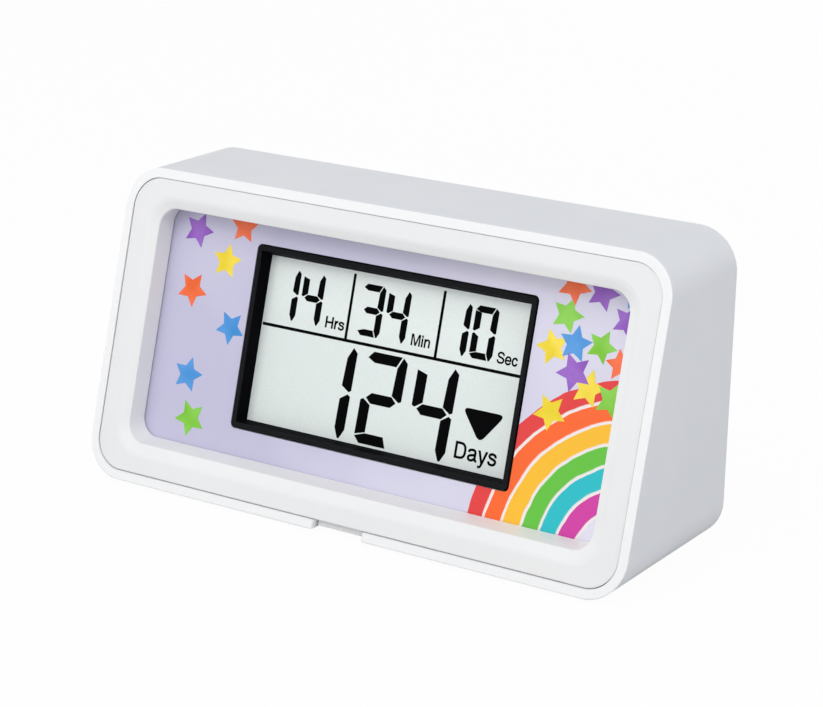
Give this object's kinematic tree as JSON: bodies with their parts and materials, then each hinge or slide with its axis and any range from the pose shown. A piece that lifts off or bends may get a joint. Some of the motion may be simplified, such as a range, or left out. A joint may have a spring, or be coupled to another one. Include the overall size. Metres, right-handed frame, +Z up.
{
  "type": "countdown timer",
  "caption": "Desk countdown timer with a leaning front, snap-in frame over a picture card, segment display, rear keys, slide switch and battery door.",
  "frame": {"origin": "middle of the timer's footprint, on the surface it stands on", "axes": "+X along the width to the viewer's right, +Y from the display to the back, +Z up"},
  "size_m": [0.13, 0.0429, 0.0654],
  "materials": {
    "case_plastic": "satin white moulded plastic",
    "frame_plastic": "satin white moulded plastic",
    "card_print": "printed card, satin",
    "surround_plastic": "black moulded plastic",
    "display_glass": "thin clear glass",
    "reflector_foil": "matt foil",
    "strip_rubber": "soft striped rubber",
    "board_laminate": "green lacquered laminate",
    "screw_steel": "plated steel",
    "blob_resin": "black resin",
    "can_metal": "tinned can",
    "cell_jacket": "printed metal jacket",
    "contact_metal": "nickel plated",
    "switch_plastic": "black moulded plastic",
    "key_plastic": "satin pale grey plastic",
    "plunger_plastic": "black moulded plastic",
    "disc_brass": "rolled brass",
    "foot_rubber": "black rubber"
  },
  "bodies": {
    "case": {"case_shell": "case_plastic", "feet": "foot_rubber", "display_surround": "surround_plastic", "display_glass": "display_glass", "display_reflector": "reflector_foil", "contact_strip": "strip_rubber", "main_board": "board_laminate", "main_board_screws": "screw_steel", "chip_blob": "blob_resin", "crystal": "can_metal", "back_cover": "case_plastic", "back_cover_screws": "screw_steel", "battery_upper": "cell_jacket", "battery_lower": "cell_jacket", "contact_bridge": "contact_metal", "contact_positive": "contact_metal", "contact_negative": "contact_metal", "key_board": "board_laminate", "key_board_screws": "screw_steel", "key_switches": "switch_plastic", "slide_switch": "switch_plastic", "buzzer_case": "switch_plastic", "buzzer_disc": "disc_brass"},
    "front_frame": {"front_frame": "frame_plastic"},
    "picture_card": {"picture_card": "card_print"},
    "battery_door": {"battery_door": "case_plastic"},
    "slide_knob": {"slide_knob": "key_plastic"},
    "key_days": {"key_days": "key_plastic", "plunger_days": "plunger_plastic"},
    "key_hours": {"key_hours": "key_plastic", "plunger_hours": "plunger_plastic"},
    "key_minutes": {"key_minutes": "key_plastic", "plunger_minutes": "plunger_plastic"},
    "key_seconds": {"key_seconds": "key_plastic", "plunger_seconds": "plunger_plastic"},
    "key_start": {"key_start": "key_plastic", "plunger_start": "plunger_plastic"}
  },
  "joints": [
    {"name": "frame_pull", "type": "slide", "parent": "case", "child": "front_frame", "axis": [0, -1, 0], "range_m": [0, 0.02]},
    {"name": "card_lift", "type": "slide", "parent": "case", "child": "picture_card", "axis": [0, -1, 0], "range_m": [0, 0.01]},
    {"name": "door_swing", "type": "hinge", "parent": "case", "child": "battery_door", "pos_m": [0, 0.02071, 0.0081], "axis": [-1, 0, 0], "range_deg": [0, 75]},
    {"name": "knob_slide", "type": "slide", "parent": "case", "child": "slide_knob", "axis": [1, 0, 0], "range_m": [-0.002, 0.002]},
    {"name": "press_days", "type": "slide", "parent": "case", "child": "key_days", "axis": [0, -1, 0], "range_m": [0, 0.0005], "stiffness_N_per_m": 800},
    {"name": "press_hours", "type": "slide", "parent": "case", "child": "key_hours", "axis": [0, -1, 0], "range_m": [0, 0.0005], "stiffness_N_per_m": 800},
    {"name": "press_minutes", "type": "slide", "parent": "case", "child": "key_minutes", "axis": [0, -1, 0], "range_m": [0, 0.0005], "stiffness_N_per_m": 800},
    {"name": "press_seconds", "type": "slide", "parent": "case", "child": "key_seconds", "axis": [0, -1, 0], "range_m": [0, 0.0005], "stiffness_N_per_m": 800},
    {"name": "press_start", "type": "slide", "parent": "case", "child": "key_start", "axis": [0, -1, 0], "range_m": [0, 0.0005], "stiffness_N_per_m": 800}
  ],
  "couplings": [
    {"joint": "card_lift", "follows": "frame_pull", "ratio": 0.5}
  ]
}
